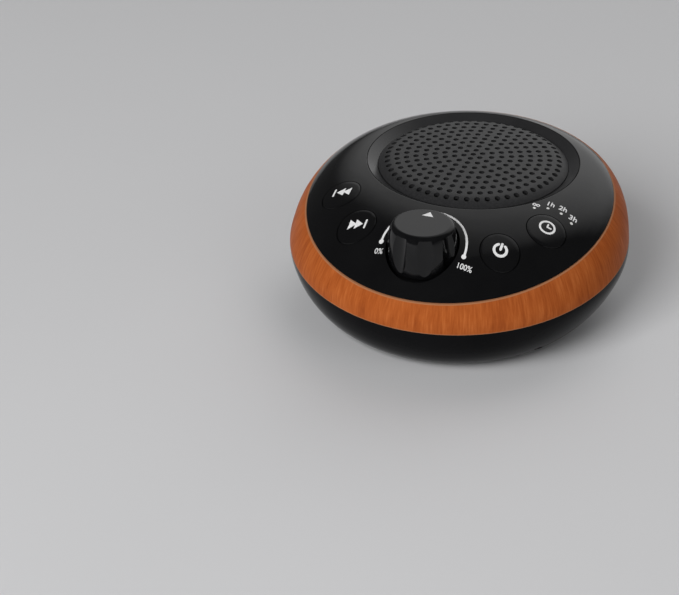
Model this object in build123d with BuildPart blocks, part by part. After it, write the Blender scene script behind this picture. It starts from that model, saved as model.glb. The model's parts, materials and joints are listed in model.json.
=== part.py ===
"""White noise sound machine: a domed pebble with a speaker, a sunk volume knob and four buttons.

The frame is in millimetres. The origin is the middle of the footprint on the table, +Z is up,
and the front, where the knob is, faces -Y.
"""

from build123d import *
from math import cos, hypot, radians, sin, sqrt
import os

os.makedirs("parts", exist_ok=True)

UPRIGHT = (Align.CENTER, Align.CENTER, Align.MIN)
HANGING = (Align.CENTER, Align.CENTER, Align.MAX)

# Body outline: level circles whose centres drift towards the back with height
widest_radius = 59.6
widest_height = 21.6
widest_y = -0.8
base_radius = 44.1
base_height = 1.2
base_advance = 5.3
rim_radius = 37.9
rim_height = 46.6
rim_setback = 15.1
crown_core = 17.5
crown_power = 0.3
crown_bend = 2.25
bowl_core = 12.0
bowl_power = 0.28
bowl_bend = 1.35

# Walls and joints of the casing
wood_wall = 1.6
lip_clearance = 0.15
lip_wall = 1.25
lip_depth = 3.0
lip_root = 1.0
rib_count = 8
rib_width = 6.0
rib_reach = 5.0
rib_root = 6.0
parting_gap = 0.4

# Edges of the wood band: a straight lower edge and a bowed upper one, seen from the side
edge_reach = widest_radius + 5.4
band_bottom_front = 18.35
band_bottom_back = 31.2
band_top_front = 27.2
band_top_middle = 38.8
band_top_back = 46.6

# Speaker opening, bezel and grille
ledge_top = 43.0
ledge_thickness = 2.4
pocket_land = 0.2
pocket_wall = 1.8
band_shoulder = 3.5
seam_gap = 0.3
bezel_width = 3.65
bezel_drop = 2.15
grille_clearance = 0.15
grille_crown = 48.4
grille_sphere = 313.0
grille_wall = 1.2
grille_roll = 5.6
grille_skirt = 1.65
hole_radius = 1.0
hole_pitch = 3.375
hole_rings = 9

# Speaker driver, from its flange down to its yoke
flange_inset = 6.4
flange_thickness = 1.0
gasket_thickness = 0.8
gasket_width = 4.0
gasket_inset = 0.1
surround_width = 5.6
surround_lip = 1.2
surround_rise = 1.8
surround_wall = 0.4
cone_wall = 0.5
cone_depth = 8.0
coil_radius = 7.1
coil_wall = 0.5
coil_length = 10.0
magnet_gap = 0.35
magnet_radius = 16.0
magnet_height = 5.0
magnet_bore = 9.5
plate_radius = 15.0
plate_thickness = 1.5
basket_wall = 1.2
basket_window_angle = 38.0
basket_flare = 1.5
yoke_lift = 10.0
surround_gap = 0.1
surround_step = 0.3
spider_wall = 0.4
spider_height = 29.2
dust_cap_rise = 2.2

# Volume knob in its well
knob_y = -41.0
knob_top = 49.3
knob_top_radius = 9.2
knob_waist_radius = 11.9
knob_foot_radius = 10.7
knob_shoulder_radius = 10.9
knob_shoulder_drop = 1.5
knob_wall = 1.9
flute_count = 8
flute_radius = 5.5
flute_top = 48.5
flute_top_reach = 10.2
flute_lean = 3.8
hub_radius = 5.0
well_clearance = 0.5
well_floor = 33.2
well_floor_thickness = 2.0
well_wall = 1.4
knob_lift = 0.5

# Potentiometer
pot_radius = 8.3
pot_wall = 1.2
bushing_radius = 3.5
bushing_rise = 3.0
shaft_radius = 3.0
shaft_clearance = 0.05
hub_clearance = 0.01
shaft_flat = 1.5
wiper_gap = 0.5
wiper_thickness = 1.5
washer_radius = 6.2
washer_thickness = 0.5
nut_across_flats = 10.0
nut_thickness = 2.0
thread_clearance = 0.03

# Buttons: the outer pair stands further back than the inner pair
button_radius = 6.55
button_clearance = 0.3
button_wall = 1.8
button_travel = 0.5
inner_button_x = 25.3
inner_button_y = -35.85
outer_button_x = 36.7
outer_button_y = -20.4
guide_bottom = 30.4
guide_wall = 1.75
flange_lip = 1.1
flange_height = 1.2
flange_gap = 0.1
stem_radius = 2.2

# Indicator lights round the back of the timer button
light_count = 4
light_step = 26.4
light_orbit = 10.3
light_radius = 0.5
light_clearance = 0.05
light_bar_width = 2.2
light_bar_height = 1.5
light_bar_bottom = 27.6
led_gap = 0.3

# Control board under the dome
board_thickness = 1.6
control_board_top = 24.0
control_board_radius = 50.0
control_board_back = -5.0
speaker_room = 2.0
switch_width = 6.0
switch_height = 3.5
plunger_radius = 1.75
plunger_depth = 0.7
plunger_room = 0.1
led_length = 2.0
led_width = 1.25
led_height = 0.8

# Main board in the base
main_board_bottom = 7.0
main_board_width = 60.0
main_board_front = -28.0
main_board_back = 30.0
tongue_width = 14.0
tongue_setback = 1.6
chip_height = 1.2
sound_chip_side = 9.0
amplifier_length = 7.0
amplifier_width = 5.0
chip_x = -18.0
chip_y = -8.0
amplifier_y = 6.0
capacitor_radius = 3.15
capacitor_height = 7.0
capacitor_round = 0.4
capacitor_pitch = 8.2
capacitor_x = 20.0
capacitor_y = -4.0
socket_width = 6.0
socket_depth = 4.5
socket_height = 5.0

# USB-C inlet at the back
usb_mouth_y = 45.5
usb_width = 8.94
usb_height = 3.26
usb_length = 7.35
usb_wall = 0.3
usb_tongue_width = 6.7
usb_tongue_thickness = 0.7
usb_tongue_setback = 0.8
usb_clearance = 0.13
plug_room_width = 13.4
plug_room_height = 8.0
plug_wall = 1.8
plug_floor = 2.0

# Screws and their bosses
case_boss_radius = 3.6
case_boss_meet = 16.0
case_screw_seat = 8.5
case_screw_length = 17.0
case_screw_radius = 1.4
case_head_radius = 2.7
case_head_height = 1.8
front_screw_margin = 9.2
front_screw_angle = -41.0
rear_screw_angle = 18.0
board_boss_radius = 3.0
board_screw_radius = 1.0
board_screw_shift = 1.8
board_edge_margin = 1.0
main_screw_inset = 4.0
boss_spacing = 0.75
board_notch_gap = 0.5
board_head_radius = 2.0
board_head_height = 1.4
board_screw_length = 6.0
main_screw_length = 5.0
screw_clearance = 0.05
screw_pass = 0.2
head_room = 0.3
pilot_spare = 1.0
cross_reach = 1.3
cross_width = 0.22
speaker_screw_count = 4
speaker_post_radius = 2.4
speaker_post_rise = 1.6

# Rubber feet
foot_radius = 5.5
foot_clearance = 0.05
foot_chamfer = 0.4
foot_recess = 0.8
foot_spread = 34.0

# Wiring
ribbon_width = 10.0
ribbon_thickness = 0.7
wire_radius = 0.7
wire_spacing = 1.8
lead_x = 29.0
lead_shift = 4.0
terminal_thickness = 1.2

# Slopes of the line of centres, below and above the widest circle
drift = base_advance / (widest_height - base_height)
rim_lift = rim_height - widest_height
drift_growth = (rim_setback - drift * rim_lift) / rim_lift**2


def span(end_radius, lift, core, power, bend):
    """How far from the widest circle one half of the body would shrink to its core's radius."""
    share = ((end_radius - core) / (widest_radius - core)) ** (1 / power)
    return lift / (1 - share) ** (1 / bend)


crown_span = span(rim_radius, rim_lift, crown_core, crown_power, crown_bend)
bowl_span = span(base_radius, widest_height - base_height, bowl_core, bowl_power, bowl_bend)


def centre_y(height):
    """Y of the centre of the body's circle at a height."""
    lift = height - widest_height
    return widest_y + drift * lift + drift_growth * max(lift, 0) ** 2


def body_station(height, inset):
    """Centre Y, height and radius of one circle of the body, moved in along the wall's normal."""
    crown = height > widest_height
    core = crown_core if crown else bowl_core
    power = crown_power if crown else bowl_power
    bend = crown_bend if crown else bowl_bend
    reach = widest_radius - core
    rise = crown_span if crown else bowl_span
    share = abs(height - widest_height) / rise
    rest = 1 - share**bend
    shrink = reach * power * bend * share ** (bend - 1) * rest ** (power - 1)
    step = inset / hypot(rise, shrink)
    upward = shrink * step if crown else -shrink * step
    return centre_y(height), height - upward, core + reach * rest**power - rise * step


def dome_height(x, y):
    """Height of the outer surface above a point of the plan, between widest circle and rim."""
    low = widest_height
    high = rim_height
    for _ in range(30):
        middle = (low + high) / 2
        inside = hypot(x, y - centre_y(middle)) < body_station(middle, 0)[2]
        low = middle if inside else low
        high = high if inside else middle
    return low


def body_solid(inset):
    """The body's outline as one solid, moved in by an inset."""
    bowl_shares = (1, 0.9, 0.75, 0.55, 0.35, 0.15, 0)
    crown_shares = (0.2, 0.38, 0.54, 0.68, 0.8, 0.9, 0.96, 1)
    heights = [widest_height - share * (widest_height - base_height) for share in bowl_shares]
    heights += [widest_height + share * rim_lift for share in crown_shares]
    with BuildPart() as body:
        for station in heights:
            middle, height, radius = body_station(station, inset)
            with BuildSketch(Plane((0, middle, height))):
                Circle(radius)
        loft()
    return body.part


def above_band_top(shift):
    """Everything over the wood band's bowed upper edge, with that edge shifted up."""
    with BuildPart() as zone:
        with BuildSketch(Plane.YZ.offset(-edge_reach)):
            with BuildLine():
                edge = ThreePointArc(
                    (-edge_reach, band_top_front + shift),
                    (0, band_top_middle + shift),
                    (edge_reach, band_top_back + shift),
                )
                sky = 2 * rim_height
                Polyline(edge @ 1, (edge_reach, sky), (-edge_reach, sky), edge @ 0)
            make_face()
        extrude(amount=2 * edge_reach)
    return zone.part


def above_band_bottom(shift):
    """Everything over the wood band's straight lower edge, with that edge shifted up."""
    with BuildPart() as zone:
        with BuildSketch(Plane.YZ.offset(-edge_reach)):
            with BuildLine():
                sky = 2 * rim_height
                Polyline(
                    (-edge_reach, band_bottom_front + shift),
                    (edge_reach, band_bottom_back + shift),
                    (edge_reach, sky),
                    (-edge_reach, sky),
                    close=True,
                )
            make_face()
        extrude(amount=2 * edge_reach)
    return zone.part


def cap_height(span, rise, x):
    """Height at x of a shallow round cap that is span wide each way and stands up by rise."""
    radius = (span**2 + rise**2) / (2 * rise)
    return rise - radius + sqrt(radius**2 - x**2)


def finish(builder, name):
    """Label a sub-part and write it to its own file."""
    builder.part.label = name
    export_step(builder.part, f"parts/{name}.step")


outer_body = body_solid(0)
band_core = body_solid(wood_wall)
lip_body = body_solid(wood_wall + lip_clearance)
casing_core = body_solid(wood_wall + lip_clearance + lip_wall)

# Speaker axis and the radii and heights that hang on it
speaker_y = widest_y + rim_setback
pocket_radius = rim_radius - pocket_land
bezel_outer = pocket_radius - seam_gap
bezel_inner = bezel_outer - bezel_width
grille_radius = bezel_inner - grille_clearance
ledge_bottom = ledge_top - ledge_thickness
flange_radius = rim_radius - flange_inset
flange_top = ledge_bottom - gasket_thickness
flange_bottom = flange_top - flange_thickness
gasket_outer = flange_radius - gasket_inset
gasket_inner = gasket_outer - gasket_width
speaker_screw_orbit = (gasket_outer + gasket_inner) / 2
speaker_axis = Plane((0, speaker_y, 0))

# Knob axis and its heights
well_radius = knob_waist_radius + well_clearance
knob_bottom = well_floor + knob_lift
well_floor_bottom = well_floor - well_floor_thickness
washer_top = well_floor + washer_thickness
nut_top = washer_top + nut_thickness
bushing_top = well_floor + bushing_rise
knob_axis = Plane((0, knob_y, 0))

# Buttons
button_spots = {
    "previous": (-outer_button_x, outer_button_y),
    "next": (-inner_button_x, inner_button_y),
    "power": (inner_button_x, inner_button_y),
    "timer": (outer_button_x, outer_button_y),
}
button_hole_radius = button_radius + button_clearance
guide_radius = button_hole_radius + guide_wall
flange_up = guide_bottom - flange_gap
flange_down = flange_up - flange_height
switch_top = control_board_top + switch_height
control_board_bottom = control_board_top - board_thickness

# Lights
first_light = 90 - light_step * (light_count - 1) / 2
light_spots = []
for index in range(light_count):
    bearing = radians(first_light + light_step * index)
    across = outer_button_x + light_orbit * cos(bearing)
    along = outer_button_y + light_orbit * sin(bearing)
    light_spots.append((across, along))
led_top = control_board_top + led_height

# Screws
front_reach = widest_radius - front_screw_margin
front_screw = (
    front_reach * cos(radians(front_screw_angle)),
    widest_y + front_reach * sin(radians(front_screw_angle)),
)
board_cutout = flange_radius + speaker_room
rear_reach = board_cutout + case_boss_radius + boss_spacing
rear_screw = (
    rear_reach * cos(radians(rear_screw_angle)),
    speaker_y + rear_reach * sin(radians(rear_screw_angle)),
)
case_screw_spots = [(side * x, y) for x, y in (front_screw, rear_screw) for side in (-1, 1)]
inner_board_screw = (inner_button_x / 2, (knob_y + control_board_back) / 2 - board_screw_shift)
outer_board_screw = (
    control_board_radius - board_boss_radius - board_edge_margin,
    control_board_back - board_boss_radius,
)
board_screw_spots = [
    (side * x, y) for x, y in (inner_board_screw, outer_board_screw) for side in (-1, 1)
]

# Main board
main_board_top = main_board_bottom + board_thickness
main_screw_x = main_board_width / 2 - main_screw_inset
main_screw_front = main_board_front + main_screw_inset
main_screw_back = main_board_back - main_screw_inset
main_screw_spots = [
    (side * main_screw_x, y) for y in (main_screw_front, main_screw_back) for side in (-1, 1)
]
usb_middle = main_board_top + usb_height / 2
base_middle_y = centre_y(base_height)
foot_offset = foot_spread / sqrt(2)
foot_spots = [
    (side * foot_offset, base_middle_y + end * foot_offset) for end in (-1, 1) for side in (-1, 1)
]


# Top cover: the glossy dome with the speaker pocket, the knob's well and the button guides
with BuildPart() as cover_fittings:
    with Locations((0, speaker_y, ledge_bottom)):
        Cylinder(pocket_radius + pocket_wall, rim_height, align=UPRIGHT)
    with Locations((0, knob_y, well_floor_bottom)):
        Cylinder(well_radius + well_wall, rim_height, align=UPRIGHT)
    with Locations([(x, y, guide_bottom) for x, y in button_spots.values()]):
        Cylinder(guide_radius, rim_height, align=UPRIGHT)
    with Locations([(x, y, case_boss_meet) for x, y in case_screw_spots]):
        Cylinder(case_boss_radius, rim_height, align=UPRIGHT)
    with Locations([(x, y, control_board_top) for x, y in board_screw_spots]):
        Cylinder(board_boss_radius, rim_height, align=UPRIGHT)
    add(lip_body, mode=Mode.INTERSECT)

with BuildPart() as cover_lip:
    add(lip_body)
    add(above_band_top(-lip_depth), mode=Mode.INTERSECT)
    add(above_band_top(lip_root), mode=Mode.SUBTRACT)

with BuildPart() as top_cover:
    add(outer_body)
    add(above_band_top(0), mode=Mode.INTERSECT)
    add(cover_lip.part)
    add(casing_core, mode=Mode.SUBTRACT)
    add(cover_fittings.part)
    with BuildSketch(speaker_axis.offset(ledge_top)):
        Circle(pocket_radius)
    extrude(amount=rim_height, mode=Mode.SUBTRACT)
    with BuildSketch(speaker_axis.offset(ledge_bottom)):
        Circle(gasket_inner)
    extrude(amount=rim_height, mode=Mode.SUBTRACT)
    with BuildSketch(speaker_axis.offset(ledge_bottom)):
        with PolarLocations(speaker_screw_orbit, speaker_screw_count, start_angle=45):
            Circle(speaker_post_radius)
    extrude(amount=ledge_thickness + speaker_post_rise)
    with BuildSketch(speaker_axis.offset(ledge_bottom)):
        with PolarLocations(speaker_screw_orbit, speaker_screw_count, start_angle=45):
            Circle(board_screw_radius + screw_clearance)
    extrude(amount=ledge_thickness + speaker_post_rise - pilot_spare, mode=Mode.SUBTRACT)
    with BuildSketch(knob_axis.offset(well_floor)):
        Circle(well_radius)
    extrude(amount=rim_height, mode=Mode.SUBTRACT)
    with BuildSketch(knob_axis.offset(well_floor_bottom)):
        Circle(bushing_radius + thread_clearance)
    extrude(amount=rim_height, mode=Mode.SUBTRACT)
    with Locations([(x, y, guide_bottom) for x, y in button_spots.values()]):
        Cylinder(button_hole_radius, rim_height, align=UPRIGHT, mode=Mode.SUBTRACT)
    with Locations([(x, y, control_board_top) for x, y in light_spots]):
        Cylinder(light_radius + light_clearance, rim_height, align=UPRIGHT, mode=Mode.SUBTRACT)
    with Locations([(x, y, case_boss_meet) for x, y in case_screw_spots]):
        pilot_depth = case_screw_seat + case_screw_length - case_boss_meet + pilot_spare
        Cylinder(case_screw_radius + screw_clearance, pilot_depth, align=UPRIGHT, mode=Mode.SUBTRACT)
    with Locations([(x, y, control_board_top) for x, y in board_screw_spots]):
        Cylinder(board_screw_radius + screw_clearance, board_screw_length, align=UPRIGHT, mode=Mode.SUBTRACT)
finish(top_cover, "top_cover")

# Wood band: the wedge between the dome and the base
with BuildPart() as wood_band:
    add(outer_body)
    add(band_core, mode=Mode.SUBTRACT)
    add(above_band_bottom(0), mode=Mode.INTERSECT)
    add(above_band_top(-parting_gap), mode=Mode.SUBTRACT)
    with BuildSketch(speaker_axis.offset(ledge_bottom)):
        Circle(pocket_radius + band_shoulder)
    extrude(amount=rim_height, mode=Mode.SUBTRACT)
finish(wood_band, "wood_band")

# Base shell: the glossy bowl, with bosses for the screws and a pocket for the power plug
with BuildPart() as base_ribs:
    with BuildSketch(Plane((0, widest_y, 0))):
        with PolarLocations(widest_radius, rib_count, start_angle=180 / rib_count):
            Rectangle(2 * rib_reach, rib_width)
    extrude(amount=rim_height)
    add(lip_body, mode=Mode.INTERSECT)
    add(above_band_bottom(-rib_root), mode=Mode.INTERSECT)
    add(above_band_bottom(lip_depth), mode=Mode.SUBTRACT)

with BuildPart() as base_room:
    add(casing_core)
    with Locations([(x, y, 0) for x, y in case_screw_spots]):
        Cylinder(case_boss_radius, case_boss_meet, align=UPRIGHT, mode=Mode.SUBTRACT)
    with Locations([(x, y, 0) for x, y in main_screw_spots]):
        Cylinder(board_boss_radius, main_board_bottom, align=UPRIGHT, mode=Mode.SUBTRACT)
    with Locations((0, usb_mouth_y - plug_floor, usb_middle)):
        Box(
            plug_room_width + 2 * plug_wall,
            widest_radius,
            plug_room_height + 2 * plug_wall,
            align=(Align.CENTER, Align.MIN, Align.CENTER),
            mode=Mode.SUBTRACT,
        )

with BuildPart() as base_shell:
    add(outer_body)
    add(above_band_bottom(0), mode=Mode.SUBTRACT)
    add(base_room.part, mode=Mode.SUBTRACT)
    add(base_ribs.part)
    with Locations((0, usb_mouth_y, usb_middle)):
        Box(
            plug_room_width,
            widest_radius,
            plug_room_height,
            align=(Align.CENTER, Align.MIN, Align.CENTER),
            mode=Mode.SUBTRACT,
        )
    with BuildSketch(Plane.XZ.offset(-usb_mouth_y)):
        with Locations((0, usb_middle)):
            SlotOverall(usb_width + 2 * usb_clearance, usb_height + 2 * usb_clearance)
    extrude(amount=2 * plug_floor, mode=Mode.SUBTRACT)
    with Locations([(x, y, 0) for x, y in case_screw_spots]):
        Cylinder(case_screw_radius + screw_pass, case_boss_meet, align=UPRIGHT, mode=Mode.SUBTRACT)
        Cylinder(case_head_radius + head_room, case_screw_seat, align=UPRIGHT, mode=Mode.SUBTRACT)
    with Locations([(x, y, main_board_bottom) for x, y in main_screw_spots]):
        Cylinder(
            board_screw_radius + screw_clearance,
            main_screw_length - board_thickness + pilot_spare,
            align=HANGING,
            mode=Mode.SUBTRACT,
        )
    with Locations([(x, y, 0) for x, y in foot_spots]):
        Cylinder(foot_radius, base_height + foot_recess, align=UPRIGHT, mode=Mode.SUBTRACT)
finish(base_shell, "base_shell")

# Four rubber feet in their recesses
with BuildPart() as rubber_feet:
    with Locations([(x, y, 0) for x, y in foot_spots]):
        Cylinder(foot_radius - foot_clearance, base_height + foot_recess, align=UPRIGHT)
    chamfer(rubber_feet.faces().group_by(Axis.Z)[0].edges(), foot_chamfer)
finish(rubber_feet, "rubber_feet")


def screws(name, spots, seat, shank, head_radius, head_height, shank_radius):
    """Cross-head screws that stand on a seat and point up, or down where the shank is negative."""
    way = 1 if shank > 0 else -1
    with BuildPart() as group:
        for x, y in spots:
            with BuildSketch(Plane((x, y, seat), z_dir=(0, 0, way))):
                Circle(shank_radius)
            extrude(amount=abs(shank))
            with BuildSketch(Plane((x, y, seat), z_dir=(0, 0, -way))):
                Circle(head_radius)
            extrude(amount=head_height)
            with BuildSketch(Plane((x, y, seat - way * head_height), z_dir=(0, 0, way))):
                Rectangle(cross_reach * head_radius, cross_width * head_radius)
                Rectangle(cross_width * head_radius, cross_reach * head_radius)
            extrude(amount=head_height / 2, mode=Mode.SUBTRACT)
    finish(group, name)


screws(
    "case_screws",
    case_screw_spots,
    case_screw_seat,
    case_screw_length,
    case_head_radius,
    case_head_height,
    case_screw_radius,
)

# Speaker bezel: a ring that slopes down from the seam to the grille
with BuildPart() as speaker_bezel:
    with BuildSketch(Plane.XZ.offset(-speaker_y)):
        with BuildLine():
            Polyline(
                (bezel_inner, ledge_top),
                (bezel_outer, ledge_top),
                (bezel_outer, rim_height),
                (bezel_inner, rim_height - bezel_drop),
                close=True,
            )
        make_face()
    revolve(axis=Axis((0, speaker_y, 0), (0, 0, 1)))
finish(speaker_bezel, "speaker_bezel")

# Speaker grille: a shallow dome with a rolled edge and rings of holes
crown_edge = grille_radius - grille_roll
crown_drop = crown_edge**2 / (2 * grille_sphere)
skirt_top = ledge_top + grille_skirt
under_crown = grille_crown - grille_wall
under_sphere = grille_sphere - grille_wall
under_edge = crown_edge * under_sphere / grille_sphere
under_drop = under_edge**2 / (2 * under_sphere)
with BuildPart() as speaker_grille:
    with BuildSketch(Plane.XZ.offset(-speaker_y)):
        with BuildLine():
            crown = ThreePointArc(
                (0, grille_crown),
                (crown_edge / 2, grille_crown - crown_drop / 4),
                (crown_edge, grille_crown - crown_drop),
            )
            roll = TangentArc(crown @ 1, (grille_radius, skirt_top), tangent=crown % 1)
            under = ThreePointArc(
                (0, under_crown),
                (under_edge / 2, under_crown - under_drop / 4),
                (under_edge, under_crown - under_drop),
            )
            under_foot = (grille_radius - grille_wall, skirt_top - grille_wall / 2)
            under_roll = TangentArc(under @ 1, under_foot, tangent=under % 1)
            Polyline(
                roll @ 1,
                (grille_radius, ledge_top),
                (grille_radius - grille_wall, ledge_top),
                under_roll @ 1,
            )
            Line(under @ 0, crown @ 0)
        make_face()
    revolve(axis=Axis((0, speaker_y, 0), (0, 0, 1)))
    with BuildSketch(speaker_axis.offset(ledge_top)):
        Circle(hole_radius)
        for ring in range(1, hole_rings + 1):
            half_step = 30 / ring if ring % 2 else 0
            with PolarLocations(ring * hole_pitch, 6 * ring, start_angle=half_step):
                Circle(hole_radius)
    extrude(amount=rim_height, mode=Mode.SUBTRACT)
finish(speaker_grille, "speaker_grille")

# Speaker driver
flange_inner = gasket_inner - surround_lip
surround_inner = gasket_inner - surround_width
surround_middle = (gasket_inner + surround_inner) / 2
cone_edge_top = flange_top
cone_foot = flange_top - cone_depth
coil_outer = coil_radius
coil_inner = coil_radius - coil_wall
top_plate_bore = coil_outer + magnet_gap
pole_radius = coil_inner - magnet_gap
yoke_bottom = main_board_bottom + yoke_lift
magnet_bottom = yoke_bottom + plate_thickness
top_plate_bottom = magnet_bottom + magnet_height
top_plate_top = top_plate_bottom + plate_thickness
basket_floor = top_plate_top + basket_wall
speaker_line = Axis((0, speaker_y, 0), (0, 0, 1))
speaker_side = Plane.XZ.offset(-speaker_y)

with BuildPart() as speaker_gasket:
    with BuildSketch(speaker_axis.offset(flange_top)):
        Circle(gasket_outer)
        Circle(gasket_inner, mode=Mode.SUBTRACT)
        with PolarLocations(speaker_screw_orbit, speaker_screw_count, start_angle=45):
            Circle(board_screw_radius + 2 * screw_clearance, mode=Mode.SUBTRACT)
    extrude(amount=gasket_thickness)
finish(speaker_gasket, "speaker_gasket")

# Basket: a dished frame with four windows, from the flange down to the top plate
with BuildPart() as speaker_basket:
    with BuildSketch(speaker_side):
        with BuildLine():
            Polyline(
                (flange_radius, flange_top),
                (flange_inner, flange_top),
                (flange_inner, flange_bottom),
                (plate_radius + basket_flare, spider_height),
                (plate_radius, spider_height - spider_wall),
                (plate_radius, basket_floor),
                (top_plate_bore, basket_floor),
                (top_plate_bore, top_plate_top),
                (plate_radius + basket_wall, top_plate_top),
                (plate_radius + basket_wall, spider_height - 2 * basket_wall),
                (flange_inner + basket_wall, flange_bottom - basket_wall),
                (flange_radius, flange_bottom - basket_wall),
                close=True,
            )
        make_face()
    revolve(axis=speaker_line)
    with BuildSketch(speaker_axis.offset(spider_height + basket_wall)):
        with BuildLine():
            window_start = -basket_window_angle / 2
            window_outer = flange_inner
            window_inner = plate_radius
            outer_arc = CenterArc((0, 0), window_outer, window_start, basket_window_angle)
            inner_arc = CenterArc((0, 0), window_inner, window_start, basket_window_angle)
            Line(outer_arc @ 0, inner_arc @ 0)
            Line(outer_arc @ 1, inner_arc @ 1)
        window = make_face()
        for turn in (90, 180, 270):
            add(window.rotate(Axis.Z, turn))
    extrude(amount=flange_bottom - spider_height - 3 * basket_wall, mode=Mode.SUBTRACT)
    with BuildSketch(speaker_axis.offset(flange_bottom - basket_wall)):
        with PolarLocations(speaker_screw_orbit, speaker_screw_count, start_angle=45):
            Circle(board_screw_radius + 2 * screw_clearance)
    extrude(amount=flange_thickness + basket_wall, mode=Mode.SUBTRACT)
finish(speaker_basket, "speaker_basket")

speaker_screw_angles = [45 + 360 / speaker_screw_count * index for index in range(speaker_screw_count)]
speaker_screw_spots = [
    (speaker_screw_orbit * cos(radians(angle)), speaker_y + speaker_screw_orbit * sin(radians(angle)))
    for angle in speaker_screw_angles
]
screws(
    "speaker_screws",
    speaker_screw_spots,
    flange_bottom - basket_wall,
    board_screw_length,
    board_head_radius,
    board_head_height,
    board_screw_radius,
)

# Magnet system: top plate, ring magnet and the yoke with its pole
with BuildPart() as speaker_top_plate:
    with BuildSketch(speaker_axis.offset(top_plate_bottom)):
        Circle(plate_radius)
        Circle(top_plate_bore, mode=Mode.SUBTRACT)
    extrude(amount=plate_thickness)
finish(speaker_top_plate, "speaker_top_plate")

with BuildPart() as speaker_magnet:
    with BuildSketch(speaker_axis.offset(magnet_bottom)):
        Circle(magnet_radius)
        Circle(magnet_bore, mode=Mode.SUBTRACT)
    extrude(amount=magnet_height)
finish(speaker_magnet, "speaker_magnet")

with BuildPart() as speaker_yoke:
    with BuildSketch(speaker_axis.offset(yoke_bottom)):
        Circle(plate_radius)
    extrude(amount=plate_thickness)
    with BuildSketch(speaker_axis.offset(magnet_bottom)):
        Circle(pole_radius)
    extrude(amount=magnet_height + plate_thickness)
finish(speaker_yoke, "speaker_yoke")

# Voice coil, spider, cone, dust cap and surround
coil_top = cone_foot + cone_wall
coil_bottom = coil_top - coil_length
with BuildPart() as voice_coil:
    with BuildSketch(speaker_axis.offset(coil_bottom)):
        Circle(coil_outer)
        Circle(coil_inner, mode=Mode.SUBTRACT)
    extrude(amount=coil_length)
finish(voice_coil, "voice_coil")

spider_step = (plate_radius - coil_outer) / 8
with BuildPart() as speaker_spider:
    with BuildSketch(speaker_side):
        with BuildLine():
            ridge = [
                (coil_outer + spider_step * index, spider_height + spider_wall * (1 + index % 2))
                for index in range(9)
            ]
            valley = [(radius, height - spider_wall) for radius, height in reversed(ridge)]
            Polyline(*ridge, *valley, close=True)
        make_face()
    revolve(axis=speaker_line)
finish(speaker_spider, "speaker_spider")

with BuildPart() as speaker_cone:
    with BuildSketch(speaker_side):
        with BuildLine():
            Polyline(
                (coil_outer, cone_foot),
                (surround_inner, cone_edge_top - cone_wall),
                (surround_inner + surround_lip, cone_edge_top - cone_wall),
                (surround_inner + surround_lip, cone_edge_top),
                (surround_inner - surround_step, cone_edge_top),
                (coil_outer, cone_foot + cone_wall),
                close=True,
            )
        make_face()
    revolve(axis=speaker_line)
finish(speaker_cone, "speaker_cone")

with BuildPart() as dust_cap:
    with BuildSketch(speaker_side):
        with BuildLine():
            middle = coil_outer / 2
            cap_wall_rise = dust_cap_rise - cone_wall
            dome = ThreePointArc(
                (coil_outer, coil_top),
                (middle, coil_top + cap_height(coil_outer, dust_cap_rise, middle)),
                (0, coil_top + dust_cap_rise),
            )
            under = ThreePointArc(
                (0, coil_top + cap_wall_rise),
                (coil_inner / 2, coil_top + cap_height(coil_inner, cap_wall_rise, coil_inner / 2)),
                (coil_inner, coil_top),
            )
            Line(dome @ 1, under @ 0)
            Line(under @ 1, dome @ 0)
        make_face()
    revolve(axis=speaker_line)
finish(dust_cap, "dust_cap")

with BuildPart() as speaker_surround:
    with BuildSketch(speaker_side):
        with BuildLine():
            roll_inner = surround_inner + surround_lip
            roll_outer = flange_inner
            roll_middle = (roll_inner + roll_outer) / 2
            over = ThreePointArc(
                (roll_inner, flange_top + surround_wall),
                (roll_middle, flange_top + surround_rise),
                (roll_outer, flange_top + surround_wall),
            )
            below = ThreePointArc(
                (roll_outer, flange_top),
                (roll_middle, flange_top + surround_rise - surround_wall),
                (roll_inner, flange_top),
            )
            Polyline(
                over @ 1,
                (gasket_inner - surround_gap, flange_top + surround_wall),
                (gasket_inner - surround_gap, flange_top),
                below @ 0,
            )
            Polyline(
                below @ 1,
                (surround_inner, flange_top),
                (surround_inner, flange_top + surround_wall),
                over @ 0,
            )
        make_face()
    revolve(axis=speaker_line)
finish(speaker_surround, "speaker_surround")

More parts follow.
